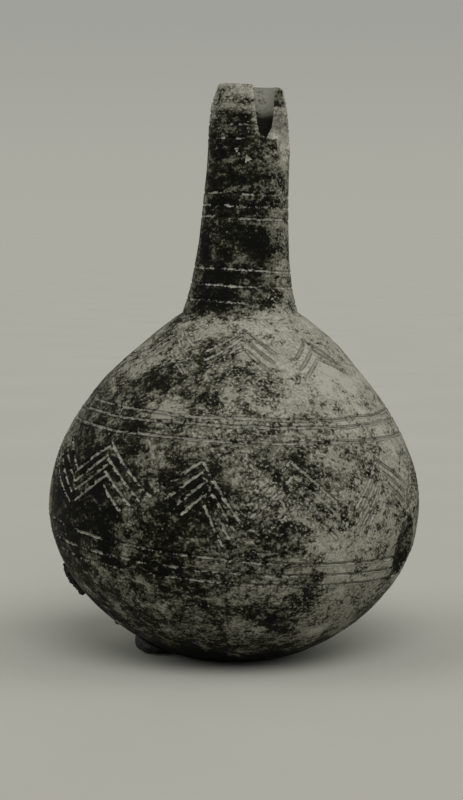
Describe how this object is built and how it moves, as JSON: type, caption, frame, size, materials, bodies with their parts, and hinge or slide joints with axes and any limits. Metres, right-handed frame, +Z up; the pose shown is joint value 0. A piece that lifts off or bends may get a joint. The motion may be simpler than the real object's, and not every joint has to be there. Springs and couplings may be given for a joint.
{
  "type": "long-necked pottery vessel",
  "caption": "Round-bottomed long-necked pottery bottle with incised bands and chevrons, a broken lip and a wad propping its belly.",
  "frame": {"origin": "middle of the small flat the bottle rests on, on the ground", "axes": "+Z up through the neck; -Y faces the viewer, the face with the broken lip; +X to the viewer's right, the way the neck leans"},
  "size_m": [0.1129, 0.1128, 0.1739],
  "materials": {
    "incised_ware": "dark burnished clay slip, worn and covered with pale crust in patches, pale fill in the lines",
    "putty": "dull dark putty"
  },
  "bodies": {
    "root": {"vessel": "incised_ware", "putty_wad": "putty"}
  },
  "joints": []
}
